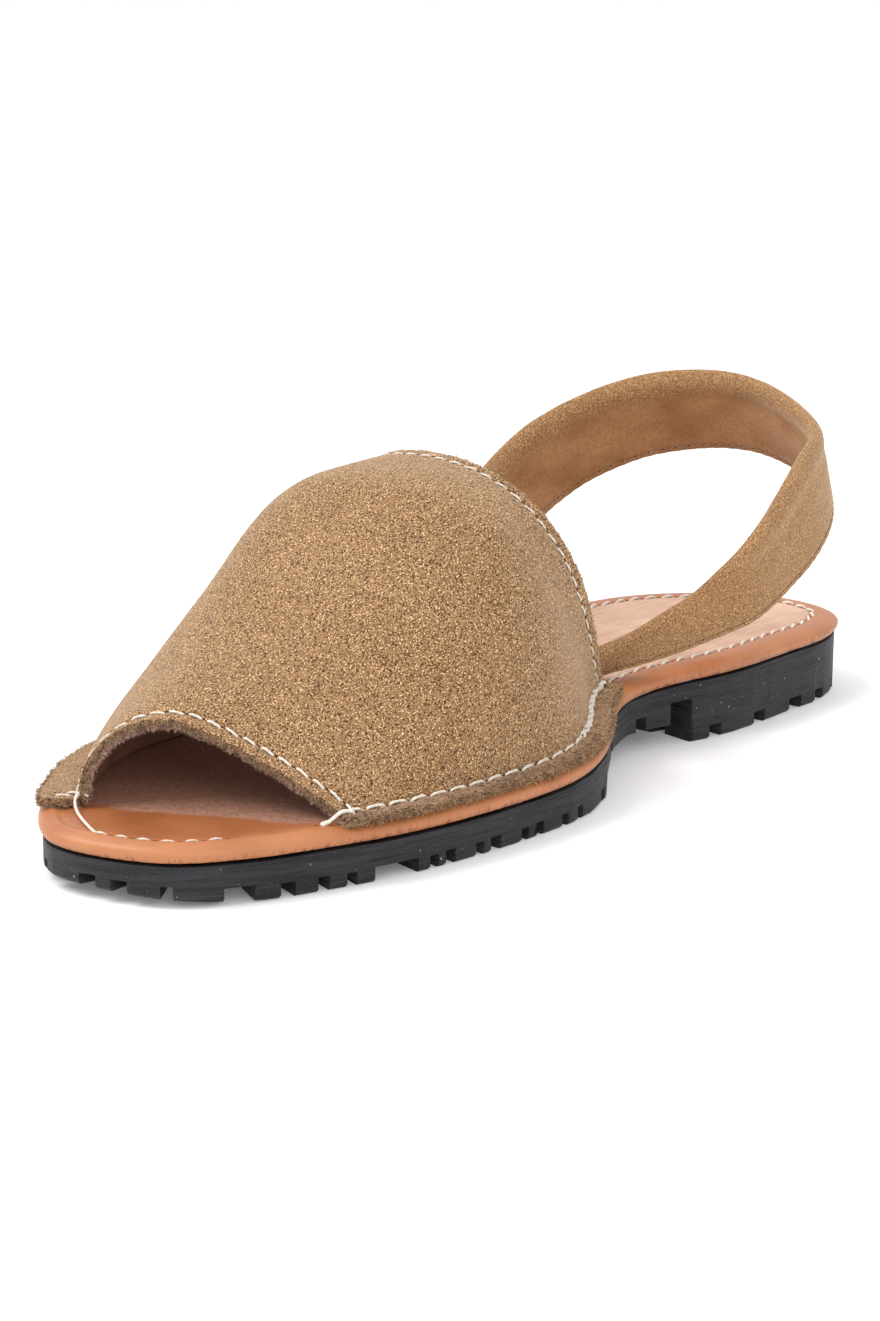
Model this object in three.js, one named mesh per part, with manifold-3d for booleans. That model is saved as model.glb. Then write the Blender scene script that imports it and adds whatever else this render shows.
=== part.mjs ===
// An avarca: a slingback sandal with a rubber sole, a leather-wrapped footbed, an open-toed suede vamp
// and a padded suede heel strap. Right shoe, in millimetres. +X runs from heel to toe, +Y to the inner
// (medial) side of the foot, +Z up. Along is measured from the heel's tip, rise from the floor.
import * as THREE from 'three';
import { mergeVertices } from 'three/addons/utils/BufferGeometryUtils.js';
import Module from 'manifold-3d';

const wasm = await Module();
wasm.setup();

// Driving dimensions
const SOLE_LENGTH = 251.2;
const BALL_WIDTH = 90.5;
const BALL_RUBBER = 8.3; // floor to the rubber's top edge under the ball
const HEEL_RUBBER = 14.9; // the same at the heel
const TOE_SPRING = 3; // lift of the tread at the toe's tip
const TOE_TOP_LIFT = 0.7; // lift of the rubber's top edge there
const LUG_DEPTH = 3.3;
const LUG_LENGTH = 9.5; // how far a rim lug reaches inwards
const LUG_PITCH = 11;
const CHANNEL_WIDTH = 3;
const WAIST_ARCH = 5.2; // rise of the medial waist's underside
const INSOLE_THICKNESS = 4.4;
const INSOLE_OVERHANG = 1.1; // how far the wrapped edge bulges past the rubber
const UPPER_WALL = 1.8; // suede and lining together
const INSTEP_HEIGHT = 62; // footbed to the crown of the vamp's rear edge
const FLANGE_DROOP = 0.2; // the flange's outer edge follows the footbed's rounded rim
const STRAP_WIDTH = 22.5;
const STRAP_THICKNESS = 4.2;
const STRAP_RISE = 62; // footbed to the upper rim of the strap at the back
const CLEARANCE = 0.3;

// The sole's outline: each side's distance from the long axis, in shares of the ball's width
const OUTLINE = [
  { along: 0.02, medial: 0.22, lateral: 0.129 },
  { along: 0.08, medial: 0.298, lateral: 0.305 },
  { along: 0.139, medial: 0.304, lateral: 0.373 },
  { along: 0.199, medial: 0.314, lateral: 0.386 },
  { along: 0.259, medial: 0.31, lateral: 0.381 },
  { along: 0.318, medial: 0.276, lateral: 0.373 },
  { along: 0.378, medial: 0.252, lateral: 0.372 },
  { along: 0.438, medial: 0.313, lateral: 0.385 },
  { along: 0.498, medial: 0.434, lateral: 0.408 },
  { along: 0.557, medial: 0.494, lateral: 0.436 },
  { along: 0.617, medial: 0.503, lateral: 0.464 },
  { along: 0.677, medial: 0.499, lateral: 0.488 },
  { along: 0.736, medial: 0.483, lateral: 0.496 },
  { along: 0.796, medial: 0.453, lateral: 0.477 },
  { along: 0.856, medial: 0.4, lateral: 0.417 },
  { along: 0.916, medial: 0.337, lateral: 0.313 },
  { along: 0.975, medial: 0.219, lateral: 0.169 },
];
const HEEL_TIP_SIDE = 0.045; // where the tips lie beside the long axis, in the same shares
const TOE_TIP_SIDE = -0.045;
const STATIONS = 40; // pairs of rim points between the two tips

// Where the rubber steps down from the heel to the ball, in shares of the sole's length
const WEDGE_START = 0.28;
const WEDGE_END = 0.617;
const SPRING_START = 0.86;
const TOP_SPRING_START = 0.7;

const smoothstep = (x, low, high) => THREE.MathUtils.smoothstep(x, low * SOLE_LENGTH, high * SOLE_LENGTH);
const lift = (x, start) => Math.max(0, (x / SOLE_LENGTH - start) / (1 - start)) ** 2;
const treadRise = (x) => TOE_SPRING * lift(x, SPRING_START);
const rubberTop = (x) => HEEL_RUBBER + (BALL_RUBBER - HEEL_RUBBER) * smoothstep(x, WEDGE_START, WEDGE_END)
  + TOE_TOP_LIFT * lift(x, TOP_SPRING_START);
const footbedTop = (x) => rubberTop(x) + CLEARANCE + INSOLE_THICKNESS;

// A column of a table as a smooth function of its place in the table, 0 at the first row and 1 at the last
function column(table, name) {
  const curve = new THREE.SplineCurve(table.map((row, index) => new THREE.Vector2(index, row[name])));
  return (share) => curve.getPoint(share).y;
}

// The outline as a closed curve, from the heel's tip along the medial side and back along the lateral side
const outlineCurve = new THREE.CatmullRomCurve3([
  new THREE.Vector3(0, HEEL_TIP_SIDE * BALL_WIDTH, 0),
  ...OUTLINE.map(({ along, medial }) => new THREE.Vector3(along * SOLE_LENGTH, medial * BALL_WIDTH, 0)),
  new THREE.Vector3(SOLE_LENGTH, TOE_TIP_SIDE * BALL_WIDTH, 0),
  ...OUTLINE.toReversed().map(({ along, lateral }) =>
    new THREE.Vector3(along * SOLE_LENGTH, -lateral * BALL_WIDTH, 0)),
], true);
const OUTLINE_STEPS = 1200;
const outlinePoints = outlineCurve.getPoints(OUTLINE_STEPS).slice(0, OUTLINE_STEPS);
const heelTip = outlinePoints.reduce((best, point, index) => (point.x < outlinePoints[best].x ? index : best), 0);
const rim = outlinePoints.map((_, index) => outlinePoints[(heelTip + index) % OUTLINE_STEPS]);
const toeTip = rim.reduce((best, point, index) => (point.x > rim[best].x ? index : best), 0);

const rimLengths = [0];
rim.forEach((point, index) => {
  rimLengths.push(rimLengths[index] + point.distanceTo(rim[(index + 1) % OUTLINE_STEPS]));
});

// A rim point with its outward normal: by its index, by its share of the way round, or by side and along
function rimAt(index) {
  const wrap = (value) => rim[(value + OUTLINE_STEPS) % OUTLINE_STEPS];
  const tangent = wrap(index + 3).clone().sub(wrap(index - 3)).normalize();
  return { point: wrap(index), normal: new THREE.Vector3(-tangent.y, tangent.x, 0) };
}
function rimAround(share) {
  return rimAt(rimLengths.findIndex((length) => length >= share * rimLengths[OUTLINE_STEPS]));
}
function rimAlong(x, isMedial) {
  const from = isMedial ? 0 : toeTip;
  const to = isMedial ? toeTip : OUTLINE_STEPS;
  let best = from;
  for (let index = from; index < to; index += 1) {
    if (Math.abs(rim[index].x - x) < Math.abs(rim[best].x - x)) best = index;
  }
  return rimAt(best);
}

// One ring of rim points moved outwards by offset, at the rise that a function of along gives.
// Point i on the medial side and point 2 * STATIONS - i on the lateral side face each other.
function rimRing(offset, rise) {
  const ring = [];
  for (let index = 0; index < 2 * STATIONS; index += 1) {
    const share = (1 - Math.cos((Math.PI * index) / STATIONS)) / 2;
    let place = rimAlong(rim[0].x + share * (rim[toeTip].x - rim[0].x), index <= STATIONS);
    if (index === 0) place = rimAt(0);
    if (index === STATIONS) place = rimAt(toeTip);
    const point = place.point.clone().addScaledVector(place.normal, offset);
    ring.push(point.setZ(rise(point.x)));
  }
  return ring;
}

// Triangles between two rings or chains of equal length
function band(lower, upper, isClosed) {
  const triangles = [];
  const count = isClosed ? lower.length : lower.length - 1;
  for (let index = 0; index < count; index += 1) {
    const next = (index + 1) % lower.length;
    triangles.push([lower[index], upper[next], lower[next]], [lower[index], upper[index], upper[next]]);
  }
  return triangles;
}

// A closed geometry with outward faces from loose triangles of points
function geometryOf(triangles) {
  const volume = triangles.reduce((sum, [a, b, c]) => sum + a.dot(b.clone().cross(c)), 0);
  const turned = volume < 0 ? triangles.map(([a, b, c]) => [a, c, b]) : triangles;
  const geometry = new THREE.BufferGeometry();
  const points = turned.flat().flatMap((point) => point.toArray());
  geometry.setAttribute('position', new THREE.Float32BufferAttribute(points, 3));
  return mergeVertices(geometry, 1e-4);
}

// A solid from rim rings stacked upwards, closed below and above by strips from side to side
function stackOf(rings) {
  const cap = (ring) => band(ring.slice(0, STATIONS + 1), [ring[0], ...ring.slice(STATIONS).toReversed()], false)
    .filter(([a, b, c]) => a !== b && b !== c && a !== c);
  const sides = rings.slice(1).flatMap((ring, index) => band(rings[index], ring, true));
  const bottom = cap(rings[0]).map(([a, b, c]) => [a, c, b]);
  return geometryOf([...sides, ...cap(rings.at(-1)), ...bottom]);
}

// Solids for cutting and joining
function solidOf(geometry) {
  const bare = geometry.clone();
  bare.deleteAttribute('normal');
  bare.deleteAttribute('uv');
  const merged = mergeVertices(bare, 1e-4);
  return new wasm.Manifold(new wasm.Mesh({
    numProp: 3,
    vertProperties: merged.attributes.position.array,
    triVerts: Uint32Array.from(merged.index.array),
  }));
}
function geometryFrom(solid) {
  const mesh = solid.getMesh();
  const geometry = new THREE.BufferGeometry();
  geometry.setAttribute('position', new THREE.BufferAttribute(mesh.vertProperties, 3));
  geometry.setIndex(new THREE.BufferAttribute(mesh.triVerts, 1));
  return geometry;
}
function blockAt(centre, [length, width, height], turn) {
  const block = new THREE.BoxGeometry(length, width, height);
  block.rotateZ(turn);
  block.translate(...centre);
  return solidOf(block);
}

// The outsole. Its rim lugs are parted by gaps, its medial waist is arched clear of the floor from the
// heel's breast to the ball, and channels part the lugs underneath.
const BREAST = 0.296; // the heel's front face, and the end of the arch, in shares of the sole's length
const ARCH_END = 0.475;
const ARCH_INNER_SIDE = -0.06; // how far across the arch reaches, in shares of the ball's width
const ARCH_GAIN = 0.25; // the underside climbs by this share of WAIST_ARCH on its way to the ball
const ARCH_BEND = 5; // exponent of its quick fall at the ball
const archShape = (share) => WAIST_ARCH * (1 + ARCH_GAIN * share) * (1 - share ** ARCH_BEND);
const archRise = (x) => {
  const share = (x / SOLE_LENGTH - BREAST) / (ARCH_END - BREAST);
  return share > 0 && share < 1 ? archShape(share) : 0;
};

// Gaps between the visible medial rim lugs: around is the share of the way round the rim from the
// heel's tip, and width is in shares of the lug pitch
const MEDIAL_GAPS = [
  { around: 0.018, width: 0.3 },
  { around: 0.04, width: 0.26 },
  { around: 0.062, width: 0.24 },
  { around: 0.0795, width: 0.5 },
  { around: 0.108, width: 0.45 },
  { around: 0.1385, width: 0.4 },
  { around: 0.1805, width: 0.34 },
  { around: 0.2115, width: 0.26 },
  { around: 0.233, width: 0.24 },
  { around: 0.252, width: 0.26 },
  { around: 0.2765, width: 0.22 },
  { around: 0.3019, width: 0.22 },
  { around: 0.3267, width: 0.3 },
  { around: 0.3499, width: 0.24 },
  { around: 0.374, width: 1 },
  { around: 0.4042, width: 0.24 },
  { around: 0.418, width: 0.3 },
  { around: 0.4359, width: 0.6 },
  { around: 0.4622, width: 0.24 },
  { around: 0.4792, width: 0.34 },
  { around: 0.4935, width: 0.26 },
];
const LATERAL_START = 0.508;
const LATERAL_END = 0.985;
const LATERAL_GAP_WIDTHS = [0.26, 0.34]; // wide and narrow gaps follow each other on the far side
const NOTCH = { around: 0.1572, width: 0.62, rise: 5.6 }; // the deep notch in front of the heel's breast

function outsoleGeometry() {
  const EDGE_ROUND = 0.7;
  let sole = solidOf(stackOf([
    rimRing(-EDGE_ROUND, treadRise),
    rimRing(0, (x) => treadRise(x) + EDGE_ROUND),
    rimRing(0, rubberTop),
  ]));

  const archProfile = new THREE.Shape();
  const ARCH_STEPS = 12;
  const FLOOR_MARGIN = 1;
  archProfile.moveTo(BREAST * SOLE_LENGTH, -FLOOR_MARGIN);
  for (let index = 0; index <= ARCH_STEPS; index += 1) {
    const share = index / ARCH_STEPS;
    archProfile.lineTo((BREAST + share * (ARCH_END - BREAST)) * SOLE_LENGTH, archShape(share));
  }
  archProfile.lineTo(ARCH_END * SOLE_LENGTH, -FLOOR_MARGIN);
  const arch = new THREE.ExtrudeGeometry(archProfile, { depth: BALL_WIDTH, bevelEnabled: false, steps: 1 });
  arch.rotateX(Math.PI / 2);
  arch.translate(0, ARCH_INNER_SIDE * BALL_WIDTH + BALL_WIDTH, 0);
  sole = sole.subtract(solidOf(arch));

  // Every cut starts below the tread and ends LUG_DEPTH above it
  const cut = (x, y, size, turn, isMedial, depth = LUG_DEPTH) => {
    const floor = treadRise(x) + (isMedial ? archRise(x) : 0);
    const height = floor + depth + FLOOR_MARGIN;
    return blockAt([x, y, height / 2 - FLOOR_MARGIN], [...size, height], turn);
  };
  const rimCut = ({ around, width, rise }) => {
    const { point, normal } = rimAround(around);
    const length = LUG_LENGTH + CHANNEL_WIDTH;
    const middle = point.clone().addScaledVector(normal, -LUG_LENGTH / 2);
    const turn = Math.atan2(normal.y, normal.x);
    return cut(middle.x, middle.y, [length, width * LUG_PITCH], turn, around < 0.5, rise);
  };
  const cuts = [...MEDIAL_GAPS, NOTCH].map(rimCut);
  const lateralCount = Math.round(((LATERAL_END - LATERAL_START) * rimLengths[OUTLINE_STEPS]) / LUG_PITCH);
  for (let index = 0; index < lateralCount; index += 1) {
    const around = LATERAL_START + ((LATERAL_END - LATERAL_START) * (index + 0.5)) / lateralCount;
    cuts.push(rimCut({ around, width: LATERAL_GAP_WIDTHS[index % 2] }));
  }

  // Inside the rim lugs a channel runs all the way round, and cross channels part the inner lugs
  const channelTop = (x) => treadRise(x) + LUG_DEPTH;
  const below = () => -FLOOR_MARGIN;
  const moatOuter = solidOf(stackOf([rimRing(-LUG_LENGTH, below), rimRing(-LUG_LENGTH, channelTop)]));
  const moatInner = solidOf(stackOf([
    rimRing(-LUG_LENGTH - CHANNEL_WIDTH, () => -2 * FLOOR_MARGIN),
    rimRing(-LUG_LENGTH - CHANNEL_WIDTH, (x) => channelTop(x) + FLOOR_MARGIN),
  ]));
  cuts.push(moatOuter.subtract(moatInner));
  const CROSS_PITCH = 1.5 * LUG_PITCH;
  const crossCount = Math.floor((SOLE_LENGTH - 2 * LUG_LENGTH) / CROSS_PITCH);
  for (let index = 1; index < crossCount; index += 1) {
    const x = LUG_LENGTH + index * CROSS_PITCH;
    const across = blockAt([x, 0, 0], [CHANNEL_WIDTH, BALL_WIDTH, BALL_WIDTH], 0);
    cuts.push(across.intersect(moatOuter));
  }
  const SLIVER = 0.02; // edges shorter than this, left where cuts graze each other, are merged away
  return geometryFrom(sole.subtract(wasm.Manifold.union(cuts)).simplify(SLIVER));
}

// The insole: the footbed's board under a leather cover that rounds over its edge. From the rubber's rim the
// edge goes outwards by a share of the overhang, and inwards and up by shares of the thickness.
const INSOLE_EDGE = [
  { outwards: 0, inwards: 0.2, up: 0 },
  { outwards: 0.2, inwards: 0, up: 0.12 },
  { outwards: 1, inwards: 0, up: 0.45 },
  { outwards: 0.7, inwards: 0, up: 0.72 },
  { outwards: 0, inwards: 0.11, up: 0.9 },
  { outwards: 0, inwards: 0.5, up: 1 },
];
function insoleGeometry() {
  return stackOf(INSOLE_EDGE.map(({ outwards, inwards, up }) => rimRing(
    outwards * INSOLE_OVERHANG - inwards * INSOLE_THICKNESS,
    (x) => rubberTop(x) + CLEARANCE + up * INSOLE_THICKNESS,
  )));
}

// The vamp's cross sections from its front edge at the toe to its rear edge at the instep. Along is a share
// of the sole's length, crownSide of the ball's width and crownRise of the instep's height; each inset is
// the distance from the rim to the crease where the wall turns outwards as a flange, in shares of the
// flange's greatest width. Fullness is the exponent of the section's curve, and bulge how far the side
// leans out above its base.
const FLANGE_WIDTH = 8;
const VAMP = [
  { medialAlong: 0.837, medialInset: 0.33, lateralAlong: 0.972, lateralInset: 0.95, crownAlong: 0.895,
    crownSide: 0.02, crownRise: 0.302, medialFullness: 1.52, lateralFullness: 2.18, medialBulge: -0.265,
    lateralBulge: -0.31 },
  { medialAlong: 0.74, medialInset: 0.35, lateralAlong: 0.865, lateralInset: 0.83, crownAlong: 0.79,
    crownSide: 0.02, crownRise: 0.475, medialFullness: 2.23, lateralFullness: 2.54, medialBulge: -0.214,
    lateralBulge: -0.243 },
  { medialAlong: 0.629, medialInset: 0.375, lateralAlong: 0.707, lateralInset: 0.98, crownAlong: 0.707,
    crownSide: -0.016, crownRise: 0.716, medialFullness: 2.69, lateralFullness: 2.71, medialBulge: 0,
    lateralBulge: -0.078 },
  { medialAlong: 0.5, medialInset: 0.56, lateralAlong: 0.552, lateralInset: 0.95, crownAlong: 0.63,
    crownSide: -0.062, crownRise: 0.95, medialFullness: 2.62, lateralFullness: 2.69, medialBulge: 0.337,
    lateralBulge: 0.208 },
  { medialAlong: 0.405, medialInset: 0.5, lateralAlong: 0.413, lateralInset: 0.85, crownAlong: 0.535,
    crownSide: -0.051, crownRise: 0.986, medialFullness: 2.16, lateralFullness: 2.52, medialBulge: 0.824,
    lateralBulge: 0.645 },
];
const VAMP_SECTIONS = 20;
const ARCH_POINTS = 26; // points across one section's arch

const vampColumn = Object.fromEntries(Object.keys(VAMP[0]).map((name) => [name, column(VAMP, name)]));

// The crease on one side of a section, and the flange's outer edge beside it
function vampBase(share, isMedial) {
  const side = isMedial ? 'medial' : 'lateral';
  const { point, normal } = rimAlong(vampColumn[`${side}Along`](share) * SOLE_LENGTH, isMedial);
  const inset = vampColumn[`${side}Inset`](share) * FLANGE_WIDTH;
  const crease = point.clone().addScaledVector(normal, -inset);
  const edge = point.clone().addScaledVector(normal, INSOLE_OVERHANG / 2);
  return { crease, edge, normal };
}

// A point of the wall's outer face: share runs from the front edge to the rear edge, and angle from 0 at the
// medial crease over the crown to PI at the lateral crease
function vampOuter(share, angle) {
  const medial = vampBase(share, true).crease;
  const lateral = vampBase(share, false).crease;
  const seat = (point) => footbedTop(point.x) + CLEARANCE + UPPER_WALL;
  medial.z = seat(medial);
  lateral.z = seat(lateral);
  const crownAlong = vampColumn.crownAlong(share) * SOLE_LENGTH;
  const crown = new THREE.Vector3(
    crownAlong,
    vampColumn.crownSide(share) * BALL_WIDTH,
    footbedTop(crownAlong) + vampColumn.crownRise(share) * INSTEP_HEIGHT,
  );
  const side = angle < Math.PI / 2 ? 'medial' : 'lateral';
  const power = 2 / vampColumn[`${side}Fullness`](share);
  const across = Math.cos(angle);
  const up = Math.max(0, Math.sin(angle));
  const middle = medial.clone().add(lateral).multiplyScalar(0.5);
  const half = medial.clone().sub(lateral).multiplyScalar(0.5);
  const reach = Math.sign(across) * Math.abs(across) ** power * (1 + vampColumn[`${side}Bulge`](share) * up);
  return middle.clone().addScaledVector(half, reach).addScaledVector(crown.sub(middle), up ** power);
}

// The matching point of the inner face, one wall's thickness inwards but never in the footbed
function vampInner(share, angle) {
  const STEP = 0.01; // between the points that give the face's directions
  const low = Math.max(0, share - STEP);
  const high = Math.min(1, share + STEP);
  const before = Math.max(0, angle - STEP);
  const after = Math.min(Math.PI, angle + STEP);
  const alongWall = vampOuter(high, angle).sub(vampOuter(low, angle));
  const acrossWall = vampOuter(share, after).sub(vampOuter(share, before));
  const inwards = acrossWall.cross(alongWall).normalize();
  const inner = vampOuter(share, angle).addScaledVector(inwards, UPPER_WALL);
  return inner.setZ(Math.max(inner.z, footbedTop(inner.x) + CLEARANCE));
}

function vampGeometry() {
  const sections = [];
  for (let row = 0; row <= VAMP_SECTIONS; row += 1) {
    const share = row / VAMP_SECTIONS;
    const outer = [];
    const inner = [];
    for (let index = 0; index <= ARCH_POINTS; index += 1) {
      const angle = (Math.PI * index) / ARCH_POINTS;
      outer.push(vampOuter(share, angle));
      inner.push(vampInner(share, angle));
    }
    [true, false].forEach((isMedial) => {
      const { crease, edge, normal } = vampBase(share, isMedial);
      const seat = (point) => footbedTop(point.x) + CLEARANCE;
      const foot = crease.clone().addScaledVector(normal, -UPPER_WALL);
      foot.z = seat(foot);
      inner[isMedial ? 0 : ARCH_POINTS] = foot;
      const edgeBottom = edge.clone().setZ(seat(edge) - FLANGE_DROOP);
      const edgeTop = edge.clone().setZ(edgeBottom.z + UPPER_WALL);
      if (isMedial) {
        outer.unshift(edgeTop);
        inner.unshift(edgeBottom);
      } else {
        outer.push(edgeTop);
        inner.push(edgeBottom);
      }
    });
    sections.push({ outer, inner });
  }
  const triangles = [];
  sections.slice(1).forEach((section, index) => {
    const previous = sections[index];
    const ring = ({ outer, inner }) => [...outer, ...inner.toReversed()];
    triangles.push(...band(ring(previous), ring(section), true));
  });
  const front = sections[0];
  const rear = sections.at(-1);
  triangles.push(...band(front.inner, front.outer, false));
  triangles.push(...band(rear.outer, rear.inner, false));
  return geometryOf(triangles);
}

// The heel strap's sections, from its end under the vamp's medial corner round the heel to the lateral
// corner. The lower edge is given in shares of the sole's length, the ball's width and the strap's rise
// above the footbed; the way from it to the upper edge is in shares of the strap's width.
const STRAP = [
  { along: 0.436, side: 0.15, rise: 0.012, topAlong: 0.14, topSide: 0.08, topRise: 0.3 },
  { along: 0.39, side: 0.158, rise: 0.013, topAlong: 0.13, topSide: 0.13, topRise: 0.32 },
  { along: 0.355, side: 0.262, rise: 0.055, topAlong: 0.16, topSide: 0.14, topRise: 0.48 },
  { along: 0.304, side: 0.378, rise: 0.13, topAlong: 0.29, topSide: 0.12, topRise: 0.73 },
  { along: 0.257, side: 0.438, rise: 0.212, topAlong: 0.4, topSide: 0.09, topRise: 0.9 },
  { along: 0.155, side: 0.418, rise: 0.402, topAlong: 0.39, topSide: -0.12, topRise: 0.94 },
  { along: 0.066, side: 0.2535, rise: 0.53, topAlong: 0.42, topSide: 0.09, topRise: 0.86 },
  { along: 0.023, side: -0.062, rise: 0.616, topAlong: 0.36, topSide: 0.05, topRise: 0.93 },
  { along: 0.064, side: -0.338, rise: 0.571, topAlong: 0.28, topSide: -0.04, topRise: 0.97 },
  { along: 0.154, side: -0.462, rise: 0.423, topAlong: 0.38, topSide: -0.21, topRise: 0.91 },
  { along: 0.263, side: -0.442, rise: 0.215, topAlong: 0.4, topSide: -0.24, topRise: 0.84 },
  { along: 0.32, side: -0.378, rise: 0.125, topAlong: 0.27, topSide: -0.15, topRise: 0.69 },
  { along: 0.363, side: -0.298, rise: 0.05, topAlong: 0.18, topSide: -0.12, topRise: 0.47 },
  { along: 0.397, side: -0.232, rise: 0.012, topAlong: 0.15, topSide: -0.14, topRise: 0.32 },
  { along: 0.435, side: -0.215, rise: 0.012, topAlong: 0.15, topSide: -0.14, topRise: 0.3 },
];
const STRAP_SECTIONS = 56;
// The folded band's profile from its sewn lower edge to its rounded, padded upper edge: half is the half
// thickness in shares of the strap's thickness
const STRAP_PROFILE = [
  { across: 0, half: 0.25 },
  { across: 0.1, half: 0.34 },
  { across: 0.5, half: 0.38 },
  { across: 0.8, half: 0.5 },
  { across: 0.93, half: 0.4 },
  { across: 1, half: 0.14 },
];

function heelStrapGeometry() {
  const value = Object.fromEntries(Object.keys(STRAP[0]).map((name) => [name, column(STRAP, name)]));
  const lower = (share) => {
    const x = value.along(share) * SOLE_LENGTH;
    const rise = footbedTop(x) + CLEARANCE + value.rise(share) * STRAP_RISE;
    return new THREE.Vector3(x, value.side(share) * BALL_WIDTH, rise);
  };
  const across = (share) => new THREE.Vector3(
    value.topAlong(share),
    value.topSide(share),
    value.topRise(share),
  ).multiplyScalar(STRAP_WIDTH);
  const STEP = 0.01; // between the two points that give the direction of the lower edge
  const rings = [];
  for (let index = 0; index <= STRAP_SECTIONS; index += 1) {
    const share = index / STRAP_SECTIONS;
    const ahead = lower(Math.min(1, share + STEP));
    const behind = lower(Math.max(0, share - STEP));
    const width = across(share);
    const outward = ahead.sub(behind).cross(width).normalize();
    const base = lower(share);
    const face = (sign) => STRAP_PROFILE.map((row) => base.clone()
      .addScaledVector(width, row.across)
      .addScaledVector(outward, sign * row.half * STRAP_THICKNESS));
    rings.push({ inner: face(-1), outer: face(1) });
  }
  const loop = ({ inner, outer }) => [...outer, ...inner.toReversed()];
  const triangles = rings.slice(1).flatMap((ring, index) => band(loop(rings[index]), loop(ring), true));
  triangles.push(...band(rings[0].inner, rings[0].outer, false));
  triangles.push(...band(rings.at(-1).outer, rings.at(-1).inner, false));
  return geometryOf(triangles);
}

const rubber = new THREE.MeshStandardMaterial({ color: 0x26262b, roughness: 0.7, metalness: 0 });
const tanLeather = new THREE.MeshStandardMaterial({ color: 0xc98351, roughness: 0.45, metalness: 0 });
const suede = new THREE.MeshStandardMaterial({ color: 0x9c7a52, roughness: 0.95, metalness: 0 });

const sandal = new THREE.Group();
[
  ['outsole', outsoleGeometry(), rubber],
  ['insole', insoleGeometry(), tanLeather],
  ['vamp', vampGeometry(), suede],
  ['heel_strap', heelStrapGeometry(), suede.clone()],
].forEach(([name, geometry, material]) => {
  geometry.computeVertexNormals();
  const mesh = new THREE.Mesh(geometry, material);
  mesh.name = name;
  sandal.add(mesh);
});

// The part's origin is the middle of its box, on the floor
const box = new THREE.Box3().setFromObject(sandal);
const middle = box.getCenter(new THREE.Vector3());
sandal.position.set(-middle.x, -middle.y, -box.min.z);

export default sandal;
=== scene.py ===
import math
import random

import bmesh
import bpy
from mathutils import Matrix, Vector, noise
from mathutils.bvhtree import BVHTree
from mathutils.kdtree import KDTree


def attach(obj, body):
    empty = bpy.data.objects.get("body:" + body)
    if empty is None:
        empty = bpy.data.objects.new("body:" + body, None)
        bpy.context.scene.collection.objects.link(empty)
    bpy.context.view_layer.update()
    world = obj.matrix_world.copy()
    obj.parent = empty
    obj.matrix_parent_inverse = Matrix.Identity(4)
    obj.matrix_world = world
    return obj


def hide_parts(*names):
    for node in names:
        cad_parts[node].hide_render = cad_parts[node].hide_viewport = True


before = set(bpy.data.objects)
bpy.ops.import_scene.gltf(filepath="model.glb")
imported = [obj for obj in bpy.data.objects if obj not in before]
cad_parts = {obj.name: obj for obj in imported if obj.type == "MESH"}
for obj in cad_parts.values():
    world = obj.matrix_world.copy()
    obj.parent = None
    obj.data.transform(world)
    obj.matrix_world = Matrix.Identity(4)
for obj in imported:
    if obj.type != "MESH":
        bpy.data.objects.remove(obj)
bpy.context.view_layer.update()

# The outsole: one piece of moulded black rubber, ground to shape on its side after it was glued on.
# The grinding leaves level marks there, and the lugs keep their moulded edges.
MM = 0.001


def only(piece):
    """Selects this piece alone and makes it the active one."""
    bpy.ops.object.select_all(action="DESELECT")
    piece.select_set(True)
    bpy.context.view_layer.objects.active = piece


def copy_of(node, name):
    """A copy of a CAD node to work on, its loose triangles merged and paired into quads."""
    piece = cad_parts[node].copy()
    piece.data = piece.data.copy()
    piece.name = piece.data.name = name
    piece.parent = None
    for key in list(piece.keys()):
        del piece[key]
    bpy.context.scene.collection.objects.link(piece)
    only(piece)
    bpy.ops.mesh.customdata_custom_splitnormals_clear()
    bpy.ops.object.mode_set(mode="EDIT")
    bpy.ops.mesh.select_all(action="SELECT")
    bpy.ops.mesh.remove_doubles(threshold=0.01 * MM)
    bpy.ops.mesh.tris_convert_to_quads(face_threshold=math.pi, shape_threshold=math.pi, topology_influence=2)
    bpy.ops.mesh.select_all(action="DESELECT")
    bpy.ops.object.mode_set(mode="OBJECT")
    piece.data.materials.clear()
    return piece


def apply(piece, kind, **settings):
    """Adds a modifier with its settings and applies it."""
    only(piece)
    modifier = piece.modifiers.new(kind.title(), kind)
    for name, value in settings.items():
        setattr(modifier, name, value)
    bpy.ops.object.modifier_apply(modifier=modifier.name)


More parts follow.
